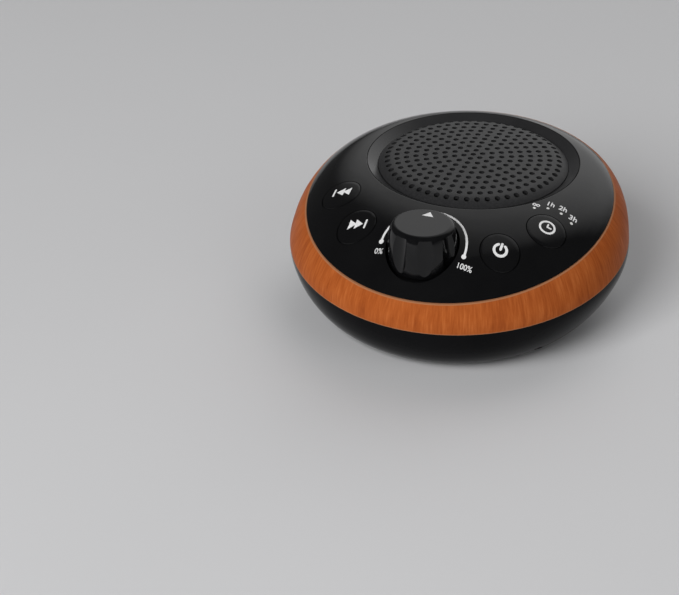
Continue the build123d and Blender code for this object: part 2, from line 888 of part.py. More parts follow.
# Volume knob: a fluted drum with a hub that takes the shaft's flat
hub_bottom = bushing_top + knob_lift
knob_roof = knob_top - knob_wall
shoulder_height = knob_top - knob_shoulder_drop
knob_line = Axis((0, knob_y, 0), (0, 0, 1))
knob_side = Plane.XZ.offset(-knob_y)
with BuildPart() as volume_knob:
    with BuildSketch(knob_side):
        with BuildLine():
            side = ThreePointArc(
                (knob_foot_radius, knob_bottom),
                (knob_waist_radius, (knob_bottom + shoulder_height) / 2),
                (knob_shoulder_radius, shoulder_height),
            )
            shoulder = TangentArc(side @ 1, (knob_top_radius, knob_top), tangent=side % 1)
            Polyline(shoulder @ 1, (0, knob_top), (0, knob_bottom), side @ 0)
        make_face()
    revolve(axis=knob_line)
    for index in range(flute_count):
        spoke = Pos(0, knob_y, flute_top) * Rot(0, 0, 360 * (index + 0.5) / flute_count)
        with Locations(spoke * Pos(flute_top_reach + flute_radius, 0, 0) * Rot(0, -flute_lean, 0)):
            Cylinder(flute_radius, rim_height, align=HANGING, mode=Mode.SUBTRACT)
    with BuildSketch(knob_axis.offset(knob_bottom)):
        Circle(knob_top_radius - knob_wall / 4)
    extrude(amount=knob_roof - knob_bottom, mode=Mode.SUBTRACT)
    with BuildSketch(knob_axis.offset(hub_bottom)):
        Circle(hub_radius)
    extrude(amount=knob_roof - hub_bottom)
    with BuildSketch(knob_axis.offset(hub_bottom)):
        Circle(shaft_radius + hub_clearance)
        with Locations((0, shaft_flat + hub_clearance)):
            Rectangle(
                3 * shaft_radius,
                2 * shaft_radius,
                align=(Align.CENTER, Align.MIN),
                mode=Mode.SUBTRACT,
            )
    extrude(amount=knob_roof - hub_bottom - knob_lift, mode=Mode.SUBTRACT)
finish(volume_knob, "volume_knob")

# Potentiometer: can and threaded bushing in one, with the shaft and its wiper inside
pot_roof = well_floor_bottom - pot_wall
wiper_bottom = control_board_top + pot_wall + wiper_gap
with BuildPart() as potentiometer:
    with BuildSketch(knob_axis.offset(control_board_top)):
        Circle(pot_radius)
    extrude(amount=well_floor_bottom - control_board_top)
    with BuildSketch(knob_axis.offset(well_floor_bottom)):
        Circle(bushing_radius)
    extrude(amount=bushing_top - well_floor_bottom)
    with BuildSketch(knob_axis.offset(control_board_top + pot_wall)):
        Circle(pot_radius - pot_wall)
    extrude(amount=pot_roof - control_board_top - pot_wall, mode=Mode.SUBTRACT)
    with BuildSketch(knob_axis.offset(control_board_top + pot_wall)):
        Circle(shaft_radius + shaft_clearance)
    extrude(amount=bushing_top, mode=Mode.SUBTRACT)
finish(potentiometer, "potentiometer")

with BuildPart() as pot_shaft:
    with BuildSketch(knob_axis.offset(wiper_bottom)):
        Circle(pot_radius - pot_wall - wiper_gap)
    extrude(amount=wiper_thickness)
    with BuildSketch(knob_axis.offset(wiper_bottom)):
        Circle(shaft_radius)
    extrude(amount=knob_roof - knob_lift - wiper_bottom)
    with BuildSketch(knob_axis.offset(hub_bottom)):
        with Locations((0, shaft_flat)):
            Rectangle(3 * shaft_radius, 2 * shaft_radius, align=(Align.CENTER, Align.MIN))
    extrude(amount=knob_top, mode=Mode.SUBTRACT)
finish(pot_shaft, "pot_shaft")

with BuildPart() as pot_washer:
    with BuildSketch(knob_axis.offset(well_floor)):
        Circle(washer_radius)
        Circle(bushing_radius + thread_clearance, mode=Mode.SUBTRACT)
    extrude(amount=washer_thickness)
finish(pot_washer, "pot_washer")

with BuildPart() as pot_nut:
    with BuildSketch(knob_axis.offset(washer_top)):
        RegularPolygon(nut_across_flats / 2, 6, major_radius=False)
        Circle(bushing_radius + thread_clearance, mode=Mode.SUBTRACT)
    extrude(amount=nut_thickness)
finish(pot_nut, "pot_nut")

# Buttons: round caps cut to the dome's surface, each over its own switch
plunger_foot = switch_top - plunger_depth
stem_bottom = switch_top + button_travel + flange_gap
for name, (x, y) in button_spots.items():
    with BuildPart() as button:
        with Locations((x, y, flange_down)):
            Cylinder(button_radius, rim_height, align=UPRIGHT)
        add(outer_body, mode=Mode.INTERSECT)
        with Locations((x, y, flange_down)):
            Cylinder(button_hole_radius + flange_lip, flange_height, align=UPRIGHT)
            roof_height = dome_height(x, y) - button_wall
            outward = hypot(x, y - centre_y(roof_height))
            lean = button_radius / outward
            low_roof = dome_height(x * (1 + lean), y * (1 + lean)) - button_wall
            room_depth = max(low_roof - flange_up, 0) + flange_height / 2
        with Locations((x, y, flange_up - flange_height / 2)):
            Cylinder(button_radius - button_wall, room_depth, align=UPRIGHT, mode=Mode.SUBTRACT)
        with Locations((x, y, stem_bottom)):
            Cylinder(stem_radius, flange_up - stem_bottom, align=UPRIGHT)
        with Locations((x, y, flange_up - flange_height / 2)):
            Cylinder(stem_radius, room_depth, align=UPRIGHT)
    finish(button, f"{name}_button")

    with BuildPart() as switch:
        with Locations((x, y, control_board_top)):
            Box(switch_width, switch_width, switch_height, align=UPRIGHT)
        with Locations((x, y, switch_top)):
            Cylinder(
                plunger_radius + plunger_room,
                plunger_depth + button_travel + plunger_room,
                align=HANGING,
                mode=Mode.SUBTRACT,
            )
    finish(switch, f"{name}_switch")

    with BuildPart() as plunger:
        with Locations((x, y, plunger_foot)):
            Cylinder(plunger_radius, stem_bottom - plunger_foot, align=UPRIGHT)
    finish(plunger, f"{name}_plunger")

# Clear light guide: four pins that end in the dome, joined by a curved bar
with BuildPart() as light_guide:
    with Locations([(x, y, led_top + led_gap) for x, y in light_spots]):
        Cylinder(light_radius, rim_height, align=UPRIGHT)
    add(outer_body, mode=Mode.INTERSECT)
    with BuildSketch(Plane((outer_button_x, outer_button_y, light_bar_bottom))):
        with BuildLine():
            CenterArc((0, 0), light_orbit, first_light, light_step * (light_count - 1))
        trace(line_width=light_bar_width)
    extrude(amount=light_bar_height)
finish(light_guide, "light_guide")

with BuildPart() as indicator_leds:
    with Locations([(x, y, control_board_top) for x, y in light_spots]):
        Box(led_length, led_width, led_height, align=UPRIGHT)
finish(indicator_leds, "indicator_leds")

# Control board: a crescent under the dome, round the speaker and the screws' bosses
with BuildPart() as control_board:
    with BuildSketch(Plane.XY.offset(control_board_bottom)):
        with Locations((0, widest_y)):
            Circle(control_board_radius)
        with Locations((0, speaker_y)):
            Circle(board_cutout, mode=Mode.SUBTRACT)
        with Locations((0, control_board_back)):
            Rectangle(
                3 * control_board_radius,
                2 * control_board_radius,
                align=(Align.CENTER, Align.MIN),
                mode=Mode.SUBTRACT,
            )
        with Locations(case_screw_spots[:2]):
            Circle(case_boss_radius + board_notch_gap, mode=Mode.SUBTRACT)
        with Locations(board_screw_spots):
            Circle(board_screw_radius + screw_pass, mode=Mode.SUBTRACT)
    extrude(amount=board_thickness)
finish(control_board, "control_board")
screws(
    "control_board_screws",
    board_screw_spots,
    control_board_bottom,
    board_screw_length,
    board_head_radius,
    board_head_height,
    board_screw_radius,
)

# Main board on the base's bosses, with a tongue that carries the power inlet
usb_back = usb_mouth_y - usb_length
with BuildPart() as main_board:
    with BuildSketch(Plane.XY.offset(main_board_bottom)):
        with Locations((0, (main_board_front + main_board_back) / 2)):
            Rectangle(main_board_width, main_board_back - main_board_front)
        with Locations((0, main_board_back)):
            Rectangle(
                tongue_width,
                2 * (usb_mouth_y - plug_floor - tongue_setback - main_board_back),
            )
        with Locations(main_screw_spots):
            Circle(board_screw_radius + screw_pass, mode=Mode.SUBTRACT)
    extrude(amount=board_thickness)
finish(main_board, "main_board")
screws(
    "main_board_screws",
    main_screw_spots,
    main_board_top,
    -main_screw_length,
    board_head_radius,
    board_head_height,
    board_screw_radius,
)

with BuildPart() as sound_chip:
    with Locations((chip_x, chip_y, main_board_top)):
        Box(sound_chip_side, sound_chip_side, chip_height, align=UPRIGHT)
finish(sound_chip, "sound_chip")

with BuildPart() as amplifier_chip:
    with Locations((chip_x, amplifier_y, main_board_top)):
        Box(amplifier_width, amplifier_length, chip_height, align=UPRIGHT)
finish(amplifier_chip, "amplifier_chip")

with BuildPart() as capacitors:
    for step in (-1, 1):
        with Locations((capacitor_x, capacitor_y + step * capacitor_pitch / 2, main_board_top)):
            Cylinder(capacitor_radius, capacitor_height, align=UPRIGHT)
    fillet(capacitors.faces().group_by(Axis.Z)[-1].edges(), capacitor_round)
finish(capacitors, "capacitors")

# USB-C inlet: a rolled metal shell round a thin tongue
with BuildPart() as usb_shell:
    with BuildSketch(Plane.XZ.offset(-usb_mouth_y)):
        with Locations((0, usb_middle)):
            SlotOverall(usb_width, usb_height)
    extrude(amount=usb_length)
    with BuildSketch(Plane.XZ.offset(-usb_mouth_y)):
        with Locations((0, usb_middle)):
            SlotOverall(usb_width - 2 * usb_wall, usb_height - 2 * usb_wall)
    extrude(amount=usb_length - usb_wall, mode=Mode.SUBTRACT)
finish(usb_shell, "usb_shell")

with BuildPart() as usb_tongue:
    with Locations((0, usb_back + usb_wall, usb_middle)):
        Box(
            usb_tongue_width,
            usb_length - usb_wall - usb_tongue_setback,
            usb_tongue_thickness,
            align=(Align.CENTER, Align.MIN, Align.CENTER),
        )
finish(usb_tongue, "usb_tongue")

# Flat ribbon between the two boards, from one socket to the other
ribbon_socket_y = main_board_front + socket_depth
with BuildPart() as main_ribbon_socket:
    with Locations((0, ribbon_socket_y, main_board_top)):
        Box(ribbon_width + 2 * board_thickness, socket_depth, socket_height / 2, align=UPRIGHT)
finish(main_ribbon_socket, "main_ribbon_socket")

with BuildPart() as control_ribbon_socket:
    with Locations((0, inner_board_screw[1], control_board_bottom)):
        Box(ribbon_width + 2 * board_thickness, socket_depth, socket_height / 2, align=HANGING)
finish(control_ribbon_socket, "control_ribbon_socket")

ribbon_low = main_board_top + socket_height / 2
ribbon_high = control_board_bottom - socket_height / 2
ribbon_middle = (ribbon_low + ribbon_high) / 2
with BuildPart() as board_ribbon:
    with BuildSketch(Plane.YZ.offset(-ribbon_width / 2)):
        with BuildLine():
            Polyline(
                (ribbon_socket_y, ribbon_low),
                (ribbon_socket_y, ribbon_middle),
                (inner_board_screw[1], ribbon_middle),
                (inner_board_screw[1], ribbon_high),
            )
        trace(line_width=ribbon_thickness)
    extrude(amount=ribbon_width)
finish(board_ribbon, "board_ribbon")

# Speaker lead: two wires from the tab under the speaker's flange to a socket on the main board
lead_y = speaker_y - lead_shift
tab_top = flange_bottom - basket_wall
tab_bottom = tab_top - terminal_thickness
socket_x = lead_x - lead_shift
socket_top = main_board_top + socket_height
with BuildPart() as speaker_terminal:
    with Locations((lead_x, lead_y, tab_bottom)):
        Box(socket_depth / 2, 3 * wire_spacing, terminal_thickness, align=UPRIGHT)
finish(speaker_terminal, "speaker_terminal")

with BuildPart() as speaker_socket:
    with Locations((socket_x, lead_y, main_board_top)):
        Box(socket_depth, socket_width, socket_height, align=UPRIGHT)
finish(speaker_socket, "speaker_socket")

bend_low = socket_top + (tab_bottom - socket_top) / 3
bend_high = bend_low + lead_shift
with BuildPart() as speaker_lead:
    for side in (-1, 1):
        wire_y = lead_y + side * wire_spacing / 2
        with BuildLine():
            FilletPolyline(
                (lead_x, wire_y, tab_bottom),
                (lead_x, wire_y, bend_high),
                (socket_x, wire_y, bend_low),
                (socket_x, wire_y, socket_top),
                radius=3 * wire_radius,
            )
        with BuildSketch(Plane((lead_x, wire_y, tab_bottom), z_dir=(0, 0, -1))):
            Circle(wire_radius)
        sweep()
finish(speaker_lead, "speaker_lead")
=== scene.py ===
"""Looks of the white noise sound machine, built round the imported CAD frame.

Everything is in metres in the frame of the CAD: +Z up, the front faces -Y, the origin is the
middle of the footprint on the table.
"""

import json
import math

import bpy
from mathutils import Matrix, Vector
from mathutils.bvhtree import BVHTree

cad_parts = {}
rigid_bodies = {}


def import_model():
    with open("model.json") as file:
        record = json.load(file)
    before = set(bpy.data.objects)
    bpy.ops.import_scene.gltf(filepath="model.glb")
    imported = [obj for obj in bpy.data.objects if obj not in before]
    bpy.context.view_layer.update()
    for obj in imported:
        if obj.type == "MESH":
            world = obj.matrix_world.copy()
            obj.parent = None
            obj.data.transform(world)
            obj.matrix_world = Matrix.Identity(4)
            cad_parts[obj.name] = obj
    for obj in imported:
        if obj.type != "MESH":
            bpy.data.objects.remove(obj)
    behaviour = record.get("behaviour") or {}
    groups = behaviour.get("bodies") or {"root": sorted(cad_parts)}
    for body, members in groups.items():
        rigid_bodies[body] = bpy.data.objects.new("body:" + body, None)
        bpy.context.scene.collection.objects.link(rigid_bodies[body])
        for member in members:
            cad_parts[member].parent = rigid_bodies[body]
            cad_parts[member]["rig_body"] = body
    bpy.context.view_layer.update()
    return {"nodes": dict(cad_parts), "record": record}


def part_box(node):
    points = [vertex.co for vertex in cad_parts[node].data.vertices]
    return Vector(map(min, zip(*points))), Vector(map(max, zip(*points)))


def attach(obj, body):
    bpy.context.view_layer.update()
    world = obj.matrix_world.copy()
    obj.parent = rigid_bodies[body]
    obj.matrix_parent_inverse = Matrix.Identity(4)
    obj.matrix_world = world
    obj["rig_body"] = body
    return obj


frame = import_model()
scene = bpy.context.scene
MM = 0.001


# ---------------------------------------------------------------- camera


CAMERA_SPOT = (0.177155, -0.577315, 0.3604)
CAMERA_ELEVATION = math.radians(31.058)
CAMERA_YAW = math.radians(-21.092)
CAMERA_ROLL = math.radians(-0.323)
CAMERA_LENS = 103.24
SENSOR_WIDTH = 36.0


def add_camera():
    """The photograph's camera: where it stands, how it is turned, and its lens."""
    level = math.cos(CAMERA_ELEVATION)
    ahead = math.sin(CAMERA_YAW) * level, math.cos(CAMERA_YAW) * level
    forward = Vector((*ahead, -math.sin(CAMERA_ELEVATION)))
    level_right = forward.cross(Vector((0, 0, 1))).normalized()
    level_up = level_right.cross(forward)
    right = math.cos(CAMERA_ROLL) * level_right + math.sin(CAMERA_ROLL) * level_up
    up = right.cross(forward)
    turn = Matrix((right, up, -forward)).transposed().to_4x4()
    data = bpy.data.cameras.new("photo_camera")
    data.sensor_fit = "HORIZONTAL"
    data.sensor_width = SENSOR_WIDTH
    data.lens = CAMERA_LENS
    data.clip_start = 0.01
    camera = bpy.data.objects.new("photo_camera", data)
    scene.collection.objects.link(camera)
    camera.matrix_world = Matrix.Translation(CAMERA_SPOT) @ turn
    scene.camera = camera


# ---------------------------------------------------------------- materials


# The Mix node's colour sockets, by number, as its three kinds of socket share their names
MIX_COLOUR_A = 6
MIX_COLOUR_B = 7
MIX_COLOUR_OUT = 2


class Shader:
    """A Principled material with short helpers for its procedural nodes."""

    def __init__(self, name, **sockets):
        self.material = bpy.data.materials.new(name)
        self.material.use_nodes = True
        self.nodes = self.material.node_tree.nodes
        self.links = self.material.node_tree.links
        self.surface = self.nodes["Principled BSDF"]
        for socket, value in sockets.items():
            self.surface.inputs[socket.replace("_", " ")].default_value = value

    def node(self, kind, **settings):
        made = self.nodes.new(kind)
        for key, value in settings.items():
            setattr(made, key, value)
        return made

    def join(self, output, target):
        self.links.new(output, target)

    def place(self):
        return self.node("ShaderNodeTexCoord").outputs["Object"]

    def noise(self, vector, scale, detail=3.0, rough=0.55):
        made = self.node("ShaderNodeTexNoise")
        made.inputs["Scale"].default_value = scale
        made.inputs["Detail"].default_value = detail
        made.inputs["Roughness"].default_value = rough
        self.join(vector, made.inputs["Vector"])
        return made.outputs["Fac"]

    def remap(self, value, low, high, to_low, to_high):
        made = self.node("ShaderNodeMapRange")
        for index, number in enumerate((low, high, to_low, to_high), start=1):
            made.inputs[index].default_value = number
        self.join(value, made.inputs[0])
        return made.outputs[0]

    def math(self, operation, first, second=None):
        made = self.node("ShaderNodeMath", operation=operation)
        for index, value in enumerate((first, second)):
            if value is None:
                continue
            if isinstance(value, (int, float)):
                made.inputs[index].default_value = value
            else:
                self.join(value, made.inputs[index])
        return made.outputs[0]

    def ramp(self, value, stops):
        made = self.node("ShaderNodeValToRGB")
        elements = made.color_ramp.elements
        while len(elements) < len(stops):
            elements.new(0.5)
        for element, (where, colour) in zip(elements, stops):
            element.position = where
            element.color = (*colour, 1)
        self.join(value, made.inputs[0])
        return made.outputs[0]

    def colour(self, output):
        self.join(output, self.surface.inputs["Base Color"])

    def roughness(self, output):
        self.join(output, self.surface.inputs["Roughness"])

    def bump(self, height, distance, strength=1.0):
        made = self.node("ShaderNodeBump")
        made.inputs["Strength"].default_value = strength
        made.inputs["Distance"].default_value = distance
        self.join(height, made.inputs["Height"])
        self.join(made.outputs[0], self.surface.inputs["Normal"])


def mottled(name, dark, light, scale, rough, bump=0.0, **sockets):
    """Moulded or painted stuff: two close colours, uneven roughness, and a fine bump in mm."""
    shader = Shader(name, **sockets)
    grain = shader.noise(shader.place(), scale)
    shader.colour(shader.ramp(grain, [(0.35, dark), (0.65, light)]))
    shader.roughness(shader.remap(grain, 0.3, 0.7, *rough))
    if bump:
        shader.bump(grain, bump * MM)
    return shader.material


# Seen from the side, the wood band ends in an arc above and in a straight line below (mm)
ARC_Y = 169.47
ARC_Z = -1099.15
ARC_RADIUS = 1150.11
LINE_START = 24.78
LINE_SLOPE = 0.0988
# Where the painted highlight along the band's upper and lower edges fades in and out (mm), and its
# colour
EDGE_HIGHLIGHT_FADE_IN = 0.30
EDGE_HIGHLIGHT_FADE_OUT = 0.12
EDGE_HIGHLIGHT_COLOUR = (0.42, 0.18, 0.085, 1)

BAND_RADIUS = 59.6
GRAIN_LEAN = 1.5
GRAIN_LEAN_SCALE = 25.0
WOOD_STOPS = (
    (0.36, (0.290, 0.062, 0.0130)),
    (0.46, (0.380, 0.088, 0.0180)),
    (0.54, (0.440, 0.110, 0.0240)),
    (0.64, (0.520, 0.150, 0.0380)),
)
# Each layer of grain: share, stretch along the height, noise scale, detail, roughness
WOOD_GRAINS = (
    (0.40, 0.10, 1500.0, 3.0, 0.6),
    (0.25, 0.12, 600.0, 3.0, 0.5),
    (0.15, 0.25, 220.0, 2.0, 0.5),
    (0.20, 0.50, 90.0, 3.0, 0.6),
)


def painted_edge_highlight(shader, y, z):
    """1 on the thin lines of painted highlight along the band's upper and lower edges, 0 between them.
    """
    back = shader.math("POWER", shader.math("SUBTRACT", y, ARC_Y * MM), 2.0)
    up = shader.math("POWER", shader.math("SUBTRACT", z, ARC_Z * MM), 2.0)
    reach = shader.math("SQRT", shader.math("ADD", back, up))
    arc_start = (ARC_RADIUS - EDGE_HIGHLIGHT_FADE_IN) * MM
    arc_end = (ARC_RADIUS - EDGE_HIGHLIGHT_FADE_OUT) * MM
    over = shader.remap(reach, arc_start, arc_end, 0.0, 1.0)
    level = shader.math("SUBTRACT", z, shader.math("MULTIPLY", y, LINE_SLOPE))
    line_start = (LINE_START + EDGE_HIGHLIGHT_FADE_IN) * MM
    line_end = (LINE_START + EDGE_HIGHLIGHT_FADE_OUT) * MM
    under = shader.remap(level, line_start, line_end, 0.0, 1.0)
    return shader.math("MAXIMUM", over, under)


def wood_print(name):
    """Satin wood print whose grain runs up the band, with a painted highlight as a paler line along both
    edges.
    """
    shader = Shader(name, Specular_IOR_Level=0.06)
    split = shader.node("ShaderNodeSeparateXYZ")
    shader.join(shader.place(), split.inputs[0])
    x, y, z = split.outputs
    arc = shader.math("MULTIPLY", shader.math("ARCTAN2", y, x), BAND_RADIUS * MM)
    lean = shader.math("MULTIPLY", shader.noise(shader.place(), GRAIN_LEAN_SCALE, 1.0), GRAIN_LEAN * MM)
    mixed = 0.0
    for share, stretch, scale, detail, rough in WOOD_GRAINS:
        joined = shader.node("ShaderNodeCombineXYZ")
        shader.join(shader.math("ADD", arc, lean), joined.inputs[0])
        shader.join(shader.math("MULTIPLY", z, stretch), joined.inputs[1])
        streaks = shader.noise(joined.outputs[0], scale, detail, rough)
        mixed = shader.math("ADD", shader.math("MULTIPLY", streaks, share), mixed)

    # Paint a highlight into the colour as a paler line along both edges of the band
    highlight_blend = shader.node("ShaderNodeMix", data_type="RGBA")
    shader.join(painted_edge_highlight(shader, y, z), highlight_blend.inputs["Factor"])
    shader.join(shader.ramp(mixed, WOOD_STOPS), highlight_blend.inputs[MIX_COLOUR_A])
    highlight_blend.inputs[MIX_COLOUR_B].default_value = EDGE_HIGHLIGHT_COLOUR
    shader.colour(highlight_blend.outputs[MIX_COLOUR_OUT])
    shader.roughness(shader.remap(mixed, 0.35, 0.65, 0.50, 0.38))
    shader.bump(mixed, 0.03 * MM, 0.4)
    return shader.material


STREAK_SQUEEZE = (1.0, 1.0, 12.0)
STREAK_SHADE = 0.75


def ring_brushed(name, tint, rough):
    """Turned or rolled metal: fine level streaks, as the noise is squeezed along the height."""
    shader = Shader(name, Metallic=1.0)
    scaled = shader.node("ShaderNodeMapping")
    scaled.inputs["Scale"].default_value = STREAK_SQUEEZE
    shader.join(shader.place(), scaled.inputs[0])
    streak = shader.noise(scaled.outputs[0], 900.0)
    dark = tuple(STREAK_SHADE * part for part in tint)
    shader.colour(shader.ramp(streak, [(0.3, dark), (0.7, tint)]))
    shader.roughness(shader.remap(streak, 0.3, 0.7, rough, rough + 0.12))
    return shader.material


def cloth(name, dark, light):
    """Varnished woven cloth: two crossed waves."""
    shader = Shader(name, Roughness=0.75)
    place = shader.place()
    waves = []
    for direction in ("X", "Y"):
        wave = shader.node("ShaderNodeTexWave", bands_direction=direction)
        wave.inputs["Scale"].default_value = 700.0
        shader.join(place, wave.inputs["Vector"])
        waves.append(wave.outputs["Fac"])
    weave = shader.math("MULTIPLY", *waves)
    shader.colour(shader.ramp(weave, [(0.1, dark), (0.8, light)]))
    shader.bump(weave, 0.1 * MM)
    return shader.material


def winding(name, dark, light):
    """Fine wire wound round Z."""
    shader = Shader(name, Metallic=0.9, Roughness=0.35)
    wave = shader.node("ShaderNodeTexWave", bands_direction="Z")
    wave.inputs["Scale"].default_value = 900.0
    shader.join(shader.place(), wave.inputs["Vector"])
    shader.colour(shader.ramp(wave.outputs["Fac"], [(0.2, dark), (0.8, light)]))
    shader.bump(wave.outputs["Fac"], 0.05 * MM)
    return shader.material


DULL_SPECULAR = 0.05
DOME_SPECULAR = 0.42
KNOB_SPECULAR = 0.32
USUAL_SPECULAR = 0.5

# Slot: dark colour, light colour, grain scale, roughness from and to, bump in mm, specular level
MOTTLED = {
    "gloss_black": (
        (0.0032, 0.0032, 0.0036), (0.0044, 0.0044, 0.0048), 60.0, (0.08, 0.12), 0.0, DOME_SPECULAR
    ),
    "bezel_grey": (
        (0.019, 0.019, 0.020), (0.023, 0.023, 0.024), 90.0, (0.20, 0.26), 0.0, USUAL_SPECULAR
    ),
    "grille_grey": (
        (0.019, 0.019, 0.020), (0.027, 0.027, 0.028), 1400.0, (0.42, 0.55), 0.03, USUAL_SPECULAR
    ),
    "knob_black": (
        (0.0035, 0.0035, 0.004), (0.005, 0.005, 0.0055), 500.0, (0.10, 0.16), 0.0, KNOB_SPECULAR
    ),
    "clear_guide": (
        (0.70, 0.70, 0.68), (0.84, 0.84, 0.82), 800.0, (0.3, 0.4), 0.0, USUAL_SPECULAR
    ),
    "rubber": (
        (0.014, 0.014, 0.014), (0.024, 0.024, 0.024), 900.0, (0.75, 0.9), 0.04, USUAL_SPECULAR
    ),
    "board_green": (
        (0.006, 0.060, 0.020), (0.012, 0.095, 0.034), 350.0, (0.25, 0.35), 0.02, USUAL_SPECULAR
    ),
    "switch_black": (
        (0.015, 0.015, 0.016), (0.03, 0.03, 0.03), 1200.0, (0.5, 0.6), 0.0, USUAL_SPECULAR
    ),
    "plunger_tan": (
        (0.35, 0.22, 0.11), (0.42, 0.27, 0.14), 1200.0, (0.45, 0.55), 0.0, USUAL_SPECULAR
    ),
    "socket_white": (
        (0.66, 0.64, 0.58), (0.76, 0.74, 0.68), 900.0, (0.4, 0.5), 0.0, USUAL_SPECULAR
    ),
    "led_amber": (
        (0.75, 0.70, 0.45), (0.88, 0.84, 0.60), 1500.0, (0.15, 0.25), 0.0, USUAL_SPECULAR
    ),
    "capacitor_sleeve": (
        (0.01, 0.012, 0.04), (0.015, 0.02, 0.06), 700.0, (0.3, 0.4), 0.0, USUAL_SPECULAR
    ),
    "ribbon_grey": (
        (0.28, 0.28, 0.29), (0.36, 0.36, 0.37), 1200.0, (0.45, 0.55), 0.0, USUAL_SPECULAR
    ),
    "lead_red": (
        (0.30, 0.012, 0.012), (0.38, 0.02, 0.02), 900.0, (0.4, 0.5), 0.0, USUAL_SPECULAR
    ),
    "basket_steel": (
        (0.02, 0.02, 0.02), (0.035, 0.035, 0.035), 900.0, (0.4, 0.55), 0.0, USUAL_SPECULAR
    ),
    "ferrite": (
        (0.03, 0.03, 0.034), (0.055, 0.055, 0.06), 700.0, (0.7, 0.85), 0.05, USUAL_SPECULAR
    ),
    "paper": (
        (0.012, 0.012, 0.012), (0.025, 0.025, 0.025), 1600.0, (0.8, 0.95), 0.05, USUAL_SPECULAR
    ),
}


def build_materials():
    """One material for each slot of the record."""
    materials = {}
    for slot, (dark, light, scale, rough, bump, specular) in MOTTLED.items():
        materials[slot] = mottled(slot, dark, light, scale, rough, bump, Specular_IOR_Level=specular)
    materials["wood_grain"] = wood_print("wood_grain")
    materials["screw_steel"] = ring_brushed("screw_steel", (0.62, 0.62, 0.63), 0.28)
    materials["can_metal"] = ring_brushed("can_metal", (0.68, 0.68, 0.69), 0.32)
    materials["coil_copper"] = winding("coil_copper", (0.35, 0.12, 0.04), (0.75, 0.33, 0.13))
    materials["spider_cloth"] = cloth("spider_cloth", (0.20, 0.11, 0.03), (0.50, 0.33, 0.12))
    return materials


def dress_nodes(materials):
    """Give every CAD node the material of its slot, and the bowl a duller black than the dome."""
    for entry in frame["record"]["subparts"]:
        node = frame["nodes"][entry["node"]]
        node.data.materials.clear()
        node.data.materials.append(materials[entry["material_slot"]])
    dark = (0.0045, 0.0045, 0.005)
    light = (0.006, 0.006, 0.0066)
    dull = mottled("satin_black", dark, light, 60.0, (0.10, 0.14), Specular_IOR_Level=DULL_SPECULAR)
    frame["nodes"]["base_shell"].data.materials[0] = dull


CAPS = ("previous_button", "next_button", "power_button", "timer_button")
CAP_EDGE = 0.25
WELD_REACH = 0.002
SHARP_EDGE = math.radians(35)


def soften_edges(node):
    """Round a cap's sharp edges a little, as moulding leaves them, so that they catch light."""
    shape = frame["nodes"][node]
    weld = shape.modifiers.new("weld", "WELD")
    weld.merge_threshold = WELD_REACH * MM
    bevel = shape.modifiers.new("bevel", "BEVEL")
    bevel.width = CAP_EDGE * MM
    bevel.segments = 3
    bevel.limit_method = "ANGLE"
    bevel.angle_limit = SHARP_EDGE
    bevel.harden_normals = True


# ---------------------------------------------------------------- white prints


ABOVE_ALL = 0.2
INK = 0.05 * MM


class Carrier:
    """The top surface of one CAD node, to lay prints on."""

    def __init__(self, node):
        mesh = frame["nodes"][node].data
        corners = [vertex.co.copy() for vertex in mesh.vertices]
        faces = [tuple(face.vertices) for face in mesh.polygons]
        self.tree = BVHTree.FromPolygons(corners, faces)
        self.body = frame["nodes"][node]["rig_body"]

    def height(self, x, y):
        ground = self.tree.ray_cast(Vector((x, y, ABOVE_ALL)), Vector((0, 0, -1)))[0]
        return ground.z


def lay(flat, carrier, name, material):
    """Turn a flat curve or text into a thin print that follows the carrier's surface."""
    bpy.context.view_layer.update()
    mesh = bpy.data.meshes.new_from_object(flat.evaluated_get(bpy.context.evaluated_depsgraph_get()))
    mesh.transform(flat.matrix_world)
    bpy.data.objects.remove(flat)
    for vertex in mesh.vertices:
        ground = carrier.height(vertex.co.x, vertex.co.y)
        vertex.co.z = ground + (INK if vertex.co.z > 0 else -INK)
    mesh.materials.clear()
    mesh.materials.append(material)
    piece = bpy.data.objects.new(name, mesh)
    scene.collection.objects.link(piece)
    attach(piece, carrier.body)


def outline(loops):
    """A filled flat shape from closed loops of points in millimetres."""
    curve = bpy.data.curves.new("outline", "CURVE")
    curve.dimensions = "2D"
    curve.fill_mode = "BOTH"
    curve.extrude = INK
    for loop in loops:
        spline = curve.splines.new("POLY")
        spline.points.add(len(loop) - 1)
        for point, (x, y) in zip(spline.points, loop):
            point.co = (x * MM, y * MM, 0, 1)
        spline.use_cyclic_u = True
    flat = bpy.data.objects.new("outline", curve)
    scene.collection.objects.link(flat)
    return flat


def lettering(text, x, y, size, bold):
    """Flat text centred on a point, in millimetres."""
    curve = bpy.data.curves.new("lettering", "FONT")
    curve.body = text
    curve.size = size * MM
    curve.offset = bold * MM
    curve.extrude = INK
    curve.align_x = "CENTER"
    curve.align_y = "CENTER"
    flat = bpy.data.objects.new("lettering", curve)
    flat.location = (x * MM, y * MM, 0)
    scene.collection.objects.link(flat)
    return flat


def on_circle(x, y, radius, turn):
    """A point on a circle."""
    return x + radius * math.cos(turn), y + radius * math.sin(turn)


END_STEPS = 6


def round_end(point, half, turn, way):
    """The points that round off the end of a stroke."""
    part = way * math.pi / END_STEPS
    return [on_circle(*point, half, turn + part * step) for step in range(1, END_STEPS)]


